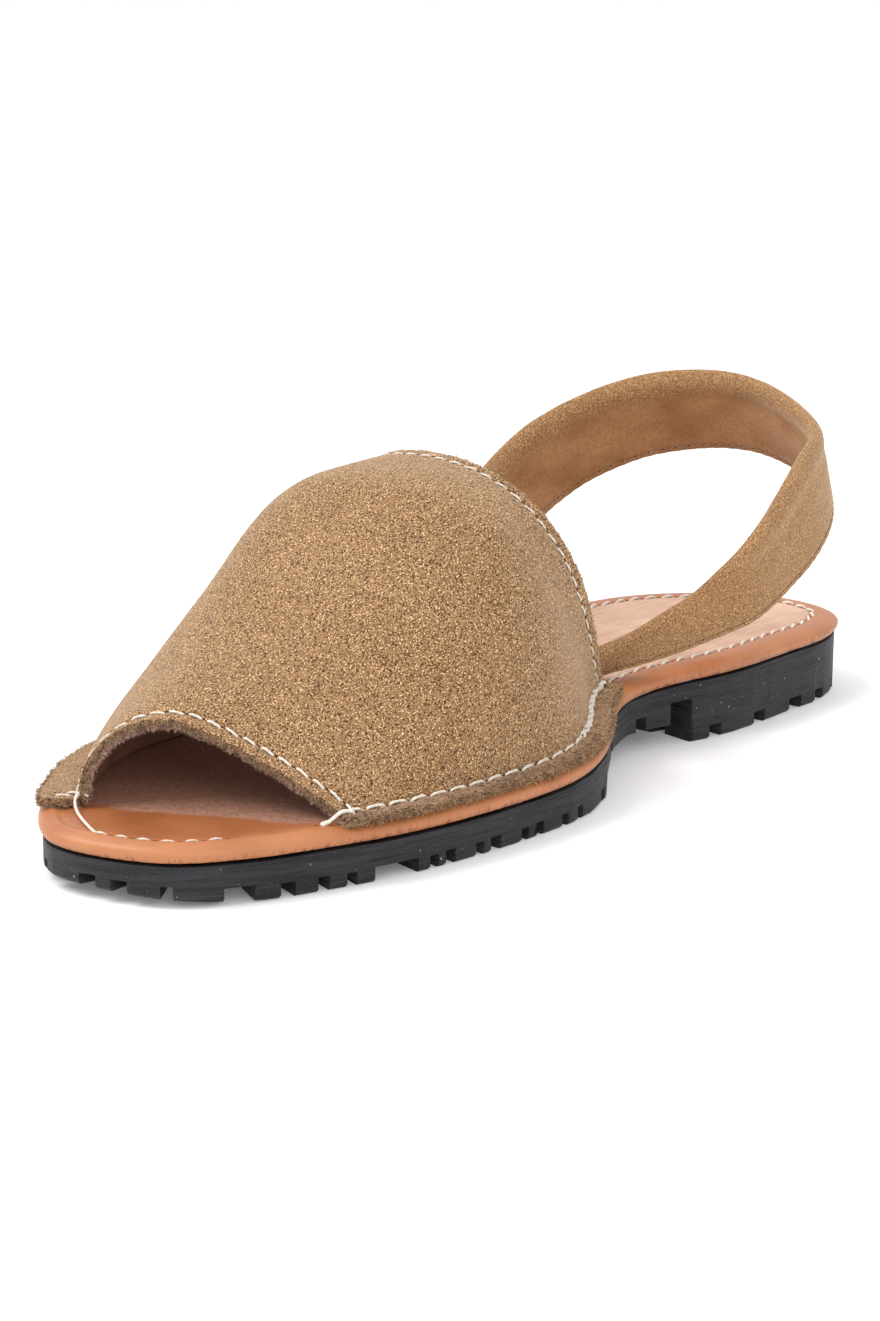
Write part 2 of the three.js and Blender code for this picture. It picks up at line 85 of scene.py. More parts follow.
class Signal:
    """A socket of a material, so that sums and masks are written as plain maths."""

    def __init__(self, socket):
        self.socket = socket

    def node(self, kind, settings, inputs, output=0):
        """Adds a node: its settings first, then its sockets' values or links."""
        tree = self.socket.id_data
        made = tree.nodes.new(kind)
        for name, value in settings.items():
            setattr(made, name, value)
        for name, value in inputs.items():
            if isinstance(value, Signal):
                tree.links.new(value.socket, made.inputs[name])
            else:
                made.inputs[name].default_value = value
        return Signal(made.outputs[output])

    def maths(self, operation, *values):
        return self.node("ShaderNodeMath", {"operation": operation}, dict(enumerate(values)))

    def __add__(self, other):
        return self.maths("ADD", self, other)

    def __sub__(self, other):
        return self.maths("SUBTRACT", self, other)

    def __rsub__(self, other):
        return self.maths("SUBTRACT", other, self)

    def __mul__(self, other):
        return self.maths("MULTIPLY", self, other)

    __radd__ = __add__
    __rmul__ = __mul__

    def between(self, low, high):
        """0 at low and 1 at high, with a smooth way between."""
        return self.node("ShaderNodeMapRange", {"interpolation_type": "SMOOTHSTEP"},
                         {"Value": self, "From Min": low, "From Max": high})

    def mottle(self, size, detail=2, stretch=(1, 1, 1)):
        """Noise with spots about size across, drawn out along each axis by stretch."""
        scale = [1 / (size * share) for share in stretch]
        placed = self.node("ShaderNodeMapping", {}, {"Vector": self, "Scale": scale})
        return placed.node("ShaderNodeTexNoise", {}, {"Vector": placed, "Scale": 1, "Detail": detail})

    def colour(self, low, high):
        """One colour where this is 0 and the other where it is 1."""
        low, high = (value if isinstance(value, Signal) else (*value, 1) for value in (low, high))
        return self.node("ShaderNodeMix", {"data_type": "RGBA"}, {0: self, 6: low, 7: high}, 2)

    def bump(self, distance, under=None):
        """A bump this high, over another bump if one is given."""
        inputs = {"Height": self, "Distance": distance, "Strength": 1}
        if under:
            inputs["Normal"] = under
        return self.node("ShaderNodeBump", {}, inputs)

    def feeds(self, shader, socket):
        self.socket.id_data.links.new(self.socket, shader.inputs[socket])


def new_material(name, **values):
    """A material, its shader with fixed values on their own sockets, and the place on the object."""
    material = bpy.data.materials.new(name)
    material.use_nodes = True
    shader = material.node_tree.nodes["Principled BSDF"]
    for socket, value in values.items():
        shader.inputs[socket.replace("_", " ")].default_value = value
    place = Signal(material.node_tree.nodes.new("ShaderNodeTexCoord").outputs["Object"])
    return material, shader, place


rubber, shader, place = new_material("rubber", Roughness=0.6, Specular_IOR_Level=0.36)
level_marks = place.mottle(0.5 * MM, 3, (28, 28, 1))
wide_marks = place.mottle(1.5 * MM, 2, (16, 16, 1))
rough_zone = place.mottle(16 * MM, 2).between(0.35, 0.6)
pores = place.mottle(0.4 * MM, 3)
specks = place.mottle(0.8 * MM, 0).between(0.84, 0.86)
cuts = (level_marks * 0.6 + wide_marks * 0.4).between(0.4, 0.6)
black = cuts.colour((0.0045, 0.0045, 0.006), (0.021, 0.021, 0.0255))
black = (pores.between(0.6, 0.75) * 0.5).colour(black, (0.075, 0.075, 0.085))
specks.colour(black, (0.3, 0.3, 0.3)).feeds(shader, "Base Color")
(level_marks * 0.35 + 0.38).feeds(shader, "Roughness")
marks = (level_marks * (rough_zone * 0.6 + 0.4) + wide_marks).bump(0.75 * MM)
pores.bump(0.2 * MM, marks).feeds(shader, "Normal")

outsole = copy_of("outsole", "outsole_rubber")
only(outsole)
bpy.ops.object.mode_set(mode="EDIT")
bpy.ops.mesh.select_all(action="SELECT")
bpy.ops.mesh.dissolve_limited(angle_limit=math.radians(1.5))
bpy.ops.object.mode_set(mode="OBJECT")
# Fine slots part some of the rim's lugs once more. Each row is a place near the rim, in millimetres.
FINE_SLOTS = [(-105, 25), (22, 47), (36, 47), (50, 45), (63, 44), (83, 39), (124, 6), (88, -41), (60, -43)]
SLOT = Vector((14, 2.4, 4.2)) * MM
SLOT_MIDDLE = 0.9 * MM  # above the tread
SIDE_HEIGHT = 6.5  # a height at which the sole's side is upright, in millimetres
rim_tree = BVHTree.FromObject(outsole, bpy.context.evaluated_depsgraph_get())
cutters = []
for x, y in FINE_SLOTS:
    spot, outwards = rim_tree.find_nearest(Vector((x, y, SIDE_HEIGHT)) * MM)[:2]
    inside = spot - outwards.normalized() * 2 * MM
    tread = rim_tree.ray_cast(Vector((inside.x, inside.y, -0.01)), Vector((0, 0, 1)))[0]
    bpy.ops.object.select_all(action="DESELECT")
    spot.z = tread.z + SLOT_MIDDLE
    turn = math.atan2(outwards.y, outwards.x)
    bpy.ops.mesh.primitive_cube_add(size=1, location=spot, rotation=(0, 0, turn))
    cutters.append(bpy.context.object)
    bpy.context.object.scale = SLOT
only(cutters[0])
for cutter in cutters:
    cutter.select_set(True)
bpy.ops.object.join()
bpy.ops.object.transform_apply(location=True, rotation=True, scale=True)
cutter = bpy.context.object
apply(outsole, "BOOLEAN", object=cutter, operation="DIFFERENCE", solver="EXACT")
bpy.data.objects.remove(cutter)
apply(outsole, "BEVEL", width=0.45 * MM, segments=2, limit_method="ANGLE", angle_limit=math.radians(40),
      use_clamp_overlap=True)
bpy.ops.object.shade_smooth_by_angle(angle=math.radians(32))
outsole.data.materials.append(rubber)
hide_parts("outsole")
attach(outsole, "root")

# The insole: a thin footbed board with smooth tan leather wrapped over its edge and glued under it.
# Its top has a paler sock, and the stitching that holds it runs in a shallow groove inside the rim.


def pick_faces(piece, wanted):
    """In edit mode, selects just the faces that wanted(centre, normal) names."""
    mesh = bmesh.from_edit_mesh(piece.data)
    for face in mesh.faces:
        face.select_set(wanted(face.calc_center_median(), face.normal))
    bmesh.update_edit_mesh(piece.data)


def paint(piece, name, value):
    """Gives every vertex a number for the material, from value(its place)."""
    layer = piece.data.attributes.new(name, "FLOAT", "POINT")
    layer.data.foreach_set("value", [value(vertex.co) for vertex in piece.data.vertices])


def painted(place, name):
    return place.node("ShaderNodeAttribute", {"attribute_name": name}, {}, "Fac")


def runs(edges):
    """The vertices of connected edges in order, one list for each run."""
    links = {}
    for edge in edges:
        for one, other in (edge.verts, reversed(edge.verts)):
            links.setdefault(one, []).append(other)
    found = []
    while links:
        here = next((vertex for vertex in links if len(links[vertex]) == 1), next(iter(links)))
        run = [here]
        while links.get(here):
            there = links[here].pop()
            links[there].remove(here)
            if not links[here]:
                del links[here]
            run.append(there)
            here = there
        links.pop(here, None)
        found.append(run)
    return found


def evenly(points, step):
    """Points along the same line, about step apart."""
    lengths = [0]
    for one, other in zip(points, points[1:]):
        lengths.append(lengths[-1] + (other - one).length)
    count = max(2, round(lengths[-1] / step))
    spread, index = [], 0
    for place_on in (lengths[-1] * share / count for share in range(count + 1)):
        while index < len(points) - 2 and lengths[index + 1] < place_on:
            index += 1
        share = (place_on - lengths[index]) / max(lengths[index + 1] - lengths[index], 1e-9)
        spread.append(points[index].lerp(points[index + 1], share))
    return spread


SEAM_INSET = 3.6 * MM  # from where the top goes flat to the middle of the seam's groove
GROOVE = 1.1 * MM
insole = copy_of("insole", "insole_leather")
only(insole)
bpy.ops.object.mode_set(mode="EDIT")
bpy.ops.mesh.select_mode(type="FACE")
pick_faces(insole, lambda centre, normal: normal.z > 0.99)
mesh = bmesh.from_edit_mesh(insole.data)
bpy.ops.mesh.inset(thickness=SEAM_INSET - GROOVE)
bpy.ops.mesh.inset(thickness=GROOVE)
mesh = bmesh.from_edit_mesh(insole.data)
TOE_SHIFT = 2.2 * MM  # the seam comes this much closer to the rim at the toe
TOE_FROM, TOE_RUN = 0.05, 0.045
for vertex in mesh.verts:
    if vertex.co.x > TOE_FROM and all(face.normal.z > 0.99 for face in vertex.link_faces):
        share = min(1, (vertex.co.x - TOE_FROM) / TOE_RUN)
        outwards = (vertex.co - Vector((0.075, 0, 0))).to_2d().normalized().to_3d()
        vertex.co += outwards * TOE_SHIFT * share * share
flat_edge = [edge for edge in mesh.edges if sum(face.select for face in edge.link_faces) == 1]
insole_seam = [[vertex.co.copy() for vertex in run] for run in runs(flat_edge)][0]
bpy.ops.transform.translate(value=(0, 0, -0.45 * MM))
bpy.ops.mesh.inset(thickness=GROOVE)
bpy.ops.transform.translate(value=(0, 0, 0.3 * MM))
bpy.ops.mesh.inset(thickness=4 * MM)
bpy.ops.mesh.inset(thickness=6 * MM)
bpy.ops.transform.translate(value=(0, 0, -0.15 * MM))
bpy.ops.object.mode_set(mode="OBJECT")
apply(insole, "SUBSURF", levels=3, render_levels=3)
bpy.ops.object.shade_smooth()

seam_tree = KDTree(len(insole_seam))
for index, point in enumerate(insole_seam):
    seam_tree.insert(point, index)
seam_tree.balance()


def inside_seam(co):
    """Metres inwards from the seam, below 0 on the rim."""
    nearest = seam_tree.find(co)[0]
    inner = Vector((min(max(co.x, -0.09), 0.085), 0, 0)) - nearest
    return (co - nearest).to_2d().dot(inner.to_2d().normalized())


paint(insole, "sock", inside_seam)
SOLE_TOP = {-0.0557: 14.9, 0.0293: 8.3}  # the rubber's top edge behind and in front of its slope, in mm


def over_rubber(co):
    """Metres above the rubber's top edge."""
    (back, high), (front, low) = SOLE_TOP.items()
    share = min(max((co.x - back) / (front - back), 0), 1)
    return co.z - (high + (low - high) * share * share * (3 - 2 * share)) * MM


paint(insole, "over_rubber", over_rubber)

tan_leather, shader, place = new_material("tan_leather", Roughness=0.42, Coat_Roughness=0.35)
inwards = painted(place, "sock")
above = painted(place, "over_rubber")
along, across = (place.node("ShaderNodeSeparateXYZ", {}, {"Vector": place}, axis) for axis in "XY")
pores = place.mottle(0.5 * MM, 3)
creases = place.mottle(1.1 * MM, 3, (1, 1, 5))
blotches = place.mottle(14 * MM, 4)
rim = blotches.between(0.3, 0.7).colour((0.37, 0.125, 0.042), (0.46, 0.175, 0.066))
# Painted shade: the top inside the seam is a darker, deeper tan than the rim.
shaded_top = blotches.between(0.3, 0.7).colour((0.3, 0.094, 0.031), (0.37, 0.125, 0.045))
rim = inwards.between(-0.4 * MM, 1.5 * MM).colour(rim, shaded_top)
# Painted shade in the creases: dark streaks in the wrinkles near the rim's lower edge.
low = (1 - above.between(0.9 * MM, 3.4 * MM)) * creases.between(0.5, 0.66)
rim = (low * 0.8).colour(rim, (0.13, 0.036, 0.014))
glue = (1 - above.between(0.8 * MM, 1.3 * MM)) * place.mottle(7 * MM, 3).between(0.46, 0.6)
rim = (glue * (1 - along.between(0.02, 0.05)) * 0.85).colour(rim, (0.62, 0.56, 0.52))
heel_zone = (1 - along.between(-0.045, 0.03)) * inwards.between(0.2 * MM, 1.4 * MM)
streaks = place.mottle(0.9 * MM, 4, (14, 1, 1)).between(0.45, 0.72)
sock = blotches.between(0.3, 0.7).colour((0.58, 0.36, 0.255), (0.7, 0.46, 0.34))
sock = (streaks * 0.35).colour(sock, (0.36, 0.19, 0.13))
flesh = place.mottle(0.55 * MM, 3, (1, 1.8, 1))
flesh_tone = flesh.between(0.35, 0.65).colour((0.26, 0.118, 0.074), (0.38, 0.19, 0.124))
flesh_front = along + across * 0.53 + place.mottle(11 * MM, 1) * 0.008
flesh_zone = (1 - flesh_front.between(0.107, 0.1095)) * inwards.between(0, 1.5 * MM)
rim = flesh_zone.colour(rim, flesh_tone)
heel_zone.colour(rim, sock).feeds(shader, "Base Color")
(blotches * 0.2 + 0.32 + flesh_zone * 0.35).feeds(shader, "Roughness")
wrinkles = (creases * (1 - above.between(0.8 * MM, 4.0 * MM))).bump(0.8 * MM)
grain = (streaks * heel_zone + flesh * flesh_zone).bump(0.08 * MM, wrinkles)
pores.bump(0.06 * MM, grain).feeds(shader, "Normal")
insole.data.materials.append(tan_leather)
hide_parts("insole")
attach(insole, "root")

# The vamp: taupe suede over a smooth reddish lining, cut as one blank, stretched over the foot's form and
# turned out at its foot as a flange that is sewn down on the insole. All its edges are left raw.


def suede_material(name, tint=(1, 1, 1), contrast=1.0):
    """Suede whose short nap lies in small tufts, with painted golden highlights where they would catch the
    light.
    """
    material, shader, place = new_material(
        name, Roughness=0.92, Specular_IOR_Level=0.2, Sheen_Weight=0.5, Sheen_Roughness=0.35,
        Sheen_Tint=(1.0, 0.82, 0.62, 1))
    tufts = place.mottle(0.46 * MM, 4)
    glints = place.mottle(0.35 * MM, 1)
    brushed = place.mottle(22 * MM, 3)
    dark, mid, pale, glint_highlight = ([share * value for share, value in zip(tint, rgb)] for rgb in (
        (0.065, 0.029, 0.012), (0.285, 0.155, 0.07), (0.355, 0.205, 0.1), (0.9, 0.61, 0.34)))
    coat = (brushed.between(0.25, 0.75) * 0.5).colour(mid, pale)
    coat = (1 - (1 - tufts.between(0.38, 0.53)) * contrast).colour(dark, coat)
    # Painted highlights: golden glints on the tufts, mixed into the base colour.
    (glints.between(0.57, 0.69) * 0.85 * contrast).colour(coat, glint_highlight).feeds(shader, "Base Color")
    glints.bump(0.12 * contrast * MM, tufts.bump(0.3 * contrast * MM)).feeds(shader, "Normal")
    return material, shader, place


suede = suede_material("suede")[0]


def raw_material(name, low, high):
    """The loose fibres of leather that was cut and never finished."""
    material, shader, place = new_material(name, Roughness=1.0, Specular_IOR_Level=0.1, Sheen_Weight=0.2)
    fibre = place.mottle(0.45 * MM, 3)
    clumps = place.mottle(1.3 * MM, 3)
    (fibre * 0.6 + clumps * 0.4).between(0.4, 0.6).colour(low, high).feeds(shader, "Base Color")
    fibre.bump(0.35 * MM, clumps.bump(0.9 * MM)).feeds(shader, "Normal")
    return material


cut_edge = raw_material("cut_edge", (0.07, 0.031, 0.014), (0.34, 0.18, 0.088))
loose_fibre = raw_material("loose_fibre", (0.17, 0.088, 0.04), (0.56, 0.36, 0.2))
lining_edge = raw_material("lining_edge", (0.26, 0.145, 0.09), (0.66, 0.45, 0.33))
lining_leather, shader, place = new_material("lining_leather", Roughness=0.7, Specular_IOR_Level=0.3)
blotches = place.mottle(5 * MM, 4).between(0.3, 0.7)
blotches.colour((0.22, 0.1, 0.062), (0.31, 0.155, 0.098)).feeds(shader, "Base Color")
place.mottle(0.4 * MM, 2).bump(0.05 * MM).feeds(shader, "Normal")

SKIN = 1.25 * MM  # suede alone, and lining alone below it
LINING = 0.8 * MM
FLANGE = 1.8 * MM


def keep_linked(piece, wanted):
    """Keeps the faces that run on smoothly from the wanted ones, and deletes the others."""
    only(piece)
    bpy.ops.object.mode_set(mode="EDIT")
    bpy.ops.mesh.select_mode(type="FACE")
    pick_faces(piece, wanted)
    bpy.ops.mesh.faces_select_linked_flat(sharpness=math.radians(50))
    bpy.ops.mesh.select_all(action="INVERT")
    bpy.ops.mesh.delete(type="FACE")
    bpy.ops.object.mode_set(mode="OBJECT")


def sides(mesh):
    """The sheet's boundary as runs from corner to corner."""
    border = [edge for edge in mesh.edges if edge.is_boundary]
    around = runs(border)[0][:-1]
    corners = [index for index, vertex in enumerate(around) if len(vertex.link_edges) == 2]
    around = around[corners[0]:] + around[:corners[0]]
    corners = [index - corners[0] for index in corners] + [len(around)]
    around.append(around[0])
    return [around[first:last + 1] for first, last in zip(corners, corners[1:])]


def inset_line(run, distance):
    """A line on the sheet at a distance inside one of its edges."""
    border = set(run)
    line = []
    for index, vertex in enumerate(run):
        along = run[min(index + 1, len(run) - 1)].co - run[max(index - 1, 0)].co
        along.normalize()
        inner = [edge.other_vert(vertex) for edge in vertex.link_edges if not edge.is_boundary]
        if not inner:
            continue
        inwards = inner[0].co - vertex.co
        inwards -= inwards.dot(along) * along
        line.append(vertex.co + distance * inwards.normalized())
    return line


def press(mesh, line, width, depth, pitch=0, pucker=0):
    """Presses a seam into the sheet, with small puckers between its holes."""
    points = evenly(line, 0.5 * MM)
    tree = KDTree(len(points))
    for index, point in enumerate(points):
        tree.insert(point, index)
    tree.balance()
    mesh.normal_update()
    moves = []
    for vertex in mesh.verts:
        _, index, away = tree.find(vertex.co)
        if away < 3.5 * width:
            fall = math.exp(-(away / width) ** 2)
            wave = math.cos(2 * math.pi * index * 0.5 * MM / pitch) if pitch else 0
            wide = math.exp(-(away / (2 * width)) ** 2)
            moves.append((vertex, vertex.normal * (pucker * wave * wide - depth * fall)))
    for vertex, move in moves:
        vertex.co += move


def rim_of(run):
    """Every place along a raw edge, with the sheet's normal and the way out of the sheet there."""
    found = []
    for index, vertex in enumerate(run):
        along = run[min(index + 1, len(run) - 1)].co - run[max(index - 1, 0)].co
        outwards = along.cross(vertex.normal).normalized()
        inner = [edge.other_vert(vertex) for edge in vertex.link_edges if not edge.is_boundary]
        if inner and (vertex.co - inner[0].co).dot(outwards) < 0:
            outwards = -outwards
        found.append((vertex.co.copy(), vertex.normal.copy(), outwards))
    return found


vamp = copy_of("vamp", "vamp_suede")
lining = copy_of("vamp", "vamp_lining")


def looks_out(centre, normal):
    """How far a face of the wall or the flange looks away from the foot."""
    return normal.dot(Vector((0, centre.y, centre.z)).normalized())


def is_wall(centre, normal):
    return abs(normal.x) < 0.6 and centre.z > 0.019


keep_linked(vamp, lambda centre, normal: looks_out(centre, normal) > 0.3 and is_wall(centre, normal)
            or normal.z > 0.85 and centre.z < 0.024)
keep_linked(lining, lambda centre, normal: looks_out(centre, normal) < -0.3 and is_wall(centre, normal))

mesh = bmesh.new()
mesh.from_mesh(vamp.data)
crease_layer = mesh.edges.layers.float.new("crease_edge")
folds = [edge for edge in mesh.edges if edge.is_manifold and edge.calc_face_angle() > math.radians(35)
         and max(vertex.co.z for vertex in edge.verts) < 0.03]
for edge in folds:
    edge[crease_layer] = 0.75
fold_lines = [[vertex.co.copy() for vertex in run] for run in runs(folds) if len(run) > 8]
mesh.to_mesh(vamp.data)
mesh.free()
apply(vamp, "SUBSURF", levels=3, render_levels=3)

STITCH_PITCH = 4.2 * MM
FRONT_INSET, REAR_INSET = 2.9 * MM, 2.6 * MM
SEAM_WIDTH, SEAM_DEPTH = 1.0 * MM, 0.5 * MM
mesh = bmesh.new()
mesh.from_mesh(vamp.data)
edge_runs = sides(mesh)
front_edge, rear_edge = sorted((run for run in edge_runs if max(v.co.z for v in run) > 0.027),
                               key=lambda run: max(v.co.z for v in run))[:2]
for vertex in mesh.verts:
    sway = 0.16 * MM * noise.noise(vertex.co * 90) + 0.05 * MM * noise.noise(vertex.co * 400)
    vertex.co += vertex.normal * sway
front_seam = inset_line(front_edge, FRONT_INSET)
rear_seam = inset_line(rear_edge, REAR_INSET)
press(mesh, front_seam, SEAM_WIDTH, SEAM_DEPTH, STITCH_PITCH, 0.2 * MM)
press(mesh, rear_seam, SEAM_WIDTH, SEAM_DEPTH, STITCH_PITCH, 0.18 * MM)
FLANGE_PITCH = 5.4 * MM
for line in fold_lines:
    press(mesh, line, 1.1 * MM, 0.2 * MM, FLANGE_PITCH, 0.24 * MM)
mesh.normal_update()
for run in edge_runs:
    for vertex, (spot, _, outwards) in zip(run, rim_of(run)):
        ragged = 0.4 * noise.noise(spot * 500) + 0.32 * noise.noise(spot * 1500)
        vertex.co = spot + outwards * ragged * MM
front_rim, rear_rim = rim_of(front_edge), rim_of(rear_edge)
flange_rims = [rim_of(run) for run in edge_runs if run is not front_edge and run is not rear_edge]
suede_tree = BVHTree.FromBMesh(mesh)
mesh.to_mesh(vamp.data)
mesh.free()

bulk = vamp.vertex_groups.new(name="bulk")
fold_tree = KDTree(sum(len(line) for line in fold_lines))
for index, point in enumerate(point for line in fold_lines for point in line):
    fold_tree.insert(point, index)
fold_tree.balance()
for vertex in vamp.data.vertices:
    nearest = fold_tree.find(vertex.co)[0]
    outwards = (vertex.co.y - nearest.y) * math.copysign(1, nearest.y)
    is_flange = vertex.co.z < nearest.z + 0.6 * MM and outwards > -0.4 * MM
    bulk.add([vertex.index], 1.0 if is_flange else SKIN / FLANGE, "REPLACE")
RAW_BAND = 2.1 * MM  # of the medial flange, raw and rough at its edge from RAW_FROM on forwards
RAW_FROM = 4 * MM
medial_rim = max(flange_rims, key=lambda rim: sum(spot.y for spot, _, _ in rim))
raw_tree = KDTree(len(medial_rim))
for index, (spot, _, _) in enumerate(medial_rim):
    raw_tree.insert(spot, index)
raw_tree.balance()
for face in vamp.data.polygons:
    away = raw_tree.find(face.center)[2]
    if away < RAW_BAND + 0.7 * MM * noise.noise(face.center * 600) and face.center.x > RAW_FROM:
        face.material_index = 1
vamp.data.materials.append(suede)
vamp.data.materials.append(cut_edge)
apply(vamp, "SOLIDIFY", thickness=FLANGE, offset=-1, vertex_group="bulk", material_offset_rim=1,
      use_even_offset=False)
bpy.ops.object.shade_smooth_by_angle(angle=math.radians(50))
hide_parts("vamp")
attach(vamp, "root")

apply(lining, "SUBSURF", levels=2, render_levels=2)
lining.data.materials.append(lining_leather)
lining.data.materials.append(lining_edge)
apply(lining, "SOLIDIFY", thickness=LINING, offset=-1, material_offset_rim=1, use_even_offset=False)
bpy.ops.object.shade_smooth_by_angle(angle=math.radians(50))
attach(lining, "root")

# The heel strap: one band of suede folded over a soft cord and sewn along its lower edge, where both
# layers end raw. Its inner face is the same suede painted darker and redder as painted shade, and its ends
# stand inside the vamp's rear corners.
strap = copy_of("heel_strap", "heel_strap_suede")
strap_suede, shader, place = suede_material("strap_suede", (1.06, 1.03, 0.98), 0.55)
outer_coat = Signal(shader.inputs["Base Color"].links[0].from_socket)
# Painted shade: where the strap faces the loop's middle, its suede gets a darker, redder coat.
inside_shade_coat = place.mottle(9 * MM, 4, (2, 2, 1)).between(0.3, 0.7)
inside_shade_coat = inside_shade_coat.colour((0.25, 0.108, 0.042), (0.37, 0.185, 0.085))
inside_shade_coat = (place.mottle(0.7 * MM, 3).between(0.42, 0.6) * 0.3).colour(inside_shade_coat, (0.14, 0.062, 0.027))
painted(place, "inside").colour(outer_coat, inside_shade_coat).feeds(shader, "Base Color")
for material in (strap_suede, cut_edge):
    strap.data.materials.append(material)
LOOP_MIDDLE = Vector((-0.055, 0, 0.045))
only(strap)
bpy.ops.object.mode_set(mode="EDIT")
bpy.ops.mesh.select_mode(type="FACE")
pick_faces(strap, lambda centre, normal: centre.x < -0.09 and normal.z < -0.75)
bpy.ops.mesh.faces_select_linked_flat(sharpness=math.radians(28))
mesh = bmesh.from_edit_mesh(strap.data)
for face in mesh.faces:
    face.material_index = int(face.select)
bmesh.update_edit_mesh(strap.data)
bpy.ops.mesh.inset(thickness=0.55 * MM)
mesh = bmesh.from_edit_mesh(strap.data)
for vertex in {vertex for face in mesh.faces if face.select for vertex in face.verts}:
    vertex.co.z += 0.9 * MM
bmesh.update_edit_mesh(strap.data)
bpy.ops.object.mode_set(mode="OBJECT")
mesh = bmesh.new()
mesh.from_mesh(strap.data)
between = [edge for edge in mesh.edges if len({face.material_index for face in edge.link_faces}) == 2]
STRAP_INSET = 1.7 * MM
strap_lines = []
for run in runs(between):
    line = []
    for index, vertex in enumerate(run):
        along = run[min(index + 1, len(run) - 1)].co - run[max(index - 1, 0)].co
        up = [edge.other_vert(vertex).co - vertex.co for edge in vertex.link_edges
              if not any(face.material_index for face in edge.link_faces)]
        if up:
            rise = up[0] - up[0].dot(along.normalized()) * along.normalized()
            line.append(vertex.co + STRAP_INSET * rise.normalized())
    strap_lines.append(line)
mesh.free()
apply(strap, "SUBSURF", levels=3, render_levels=3)
mesh = bmesh.new()
mesh.from_mesh(strap.data)
mesh.normal_update()
for vertex in mesh.verts:
    vertex.co += vertex.normal * 0.14 * MM * noise.noise(vertex.co * 110)
for line in strap_lines:
    press(mesh, line, 0.8 * MM, 0.22 * MM, 3.6 * MM, 0.1 * MM)
mesh.normal_update()
strap_tree = BVHTree.FromBMesh(mesh)
ROLL_FOOT = 14 * MM  # from the lower edge to where the padded roll begins, a valley on the inside
edge_tree = KDTree(sum(len(line) for line in strap_lines))
for index, point in enumerate(point for line in strap_lines for point in line):
    edge_tree.insert(point, index)
edge_tree.balance()
# The painted shade on the inner face: where it faces the loop's middle, below the padded roll, a little
# weaker at the lower edge.
strap_inside_shade = []
for vertex in mesh.verts:
    towards = LOOP_MIDDLE - vertex.co
    towards.z = 0
    facing = min(1, max(0, vertex.normal.dot(towards.normalized()) * 1.8))
    height = edge_tree.find(vertex.co)[2]
    uneven = 1.5 * MM * noise.noise(vertex.co * 120)
    below = min(1, max(0, (ROLL_FOOT + 2.5 * MM + uneven - height) / (4 * MM)))
    above = min(1, max(0, (height - uneven) / (2.5 * MM)))
    strap_inside_shade.append(facing * below * (0.45 + 0.55 * above))
    valley = math.exp(-((height - ROLL_FOOT) / (2.2 * MM)) ** 2)
    roll = math.exp(-((height - ROLL_FOOT - 4.5 * MM) / (2.5 * MM)) ** 2)
    vertex.co += vertex.normal * ((0.2 + 0.1 * facing) * roll - (0.35 + 0.45 * facing) * valley) * MM
mesh.to_mesh(strap.data)
mesh.free()
strap.data.attributes.new("inside", "FLOAT", "POINT").data.foreach_set("value", strap_inside_shade)
only(strap)
bpy.ops.object.shade_smooth_by_angle(angle=math.radians(60))
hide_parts("heel_strap")
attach(strap, "root")

# The stitching: off-white waxed thread of three plies. One stitch is made and copied along each seam, with
# a needle hole of painted shade at each of its ends, and a few thicker knots hold the vamp's corners.
STITCH = [(-0.38, 0.0, 1.35), (-0.2, 0.45, 1), (0.0, 0.6, 1), (0.2, 0.45, 1), (0.38, 0.0, 1),
          (0.5, -0.9, 0.7)]
FIBRE = [(0.4, 1.2, 0.8), (0.75, 4.0, 0.7), (1.0, 8.0, 0.4)]


def drawn_form(start, rows, around, twist=0.0, plies=False):
    """A small tube drawn from its start through rows of x, z and how much it widens, as a form to copy."""
    x, z, radius = start
    bpy.ops.object.select_all(action="DESELECT")
    bpy.ops.mesh.primitive_circle_add(vertices=around, radius=radius, fill_type="NGON", location=(x, 0, z),
                                      rotation=(0, math.pi / 2, 0))
    tube = bpy.context.object
    bpy.ops.object.transform_apply(location=True, rotation=True, scale=True)
    for vertex in list(tube.data.vertices)[::3] if plies else ():
        vertex.co.y *= 0.72
        vertex.co.z = z + (vertex.co.z - z) * 0.72
    bpy.ops.object.mode_set(mode="EDIT")
    bpy.ops.mesh.select_all(action="SELECT")
    for next_x, next_z, widen in rows:
        bpy.ops.mesh.extrude_region_move(TRANSFORM_OT_translate={"value": (next_x - x, 0, next_z - z)})
        bpy.ops.transform.rotate(value=twist, orient_axis="X", center_override=(next_x, 0, next_z))
        bpy.ops.transform.resize(value=(1, widen, widen), center_override=(next_x, 0, next_z))
        x, z = next_x, next_z
    bpy.ops.mesh.select_all(action="SELECT")
    bpy.ops.mesh.normals_make_consistent(inside=False)
    bpy.ops.object.mode_set(mode="OBJECT")
    points = [vertex.co.copy() for vertex in tube.data.vertices]
    # The extrusion's own order differs from run to run, so the vertices and faces are put in a settled one.
    order = sorted(range(len(points)), key=lambda index: tuple(points[index]))
    rank = {index: place_in for place_in, index in enumerate(order)}
    faces = sorted([rank[index] for index in face.vertices] for face in tube.data.polygons)
    bpy.data.objects.remove(tube)
    return [points[index] for index in order], faces


stitch_form = drawn_form((-0.5, -0.9, 0.7), STITCH, 9, math.radians(38), True)
fibre_form = drawn_form((0.0, 0.0, 1.0), FIBRE, 3)
bpy.ops.mesh.primitive_circle_add(vertices=8, radius=1, fill_type="TRIFAN")
one_hole = bpy.context.object
hole_form = ([vertex.co.copy() for vertex in one_hole.data.vertices],
             [list(face.vertices) for face in one_hole.data.polygons])
bpy.data.objects.remove(one_hole)


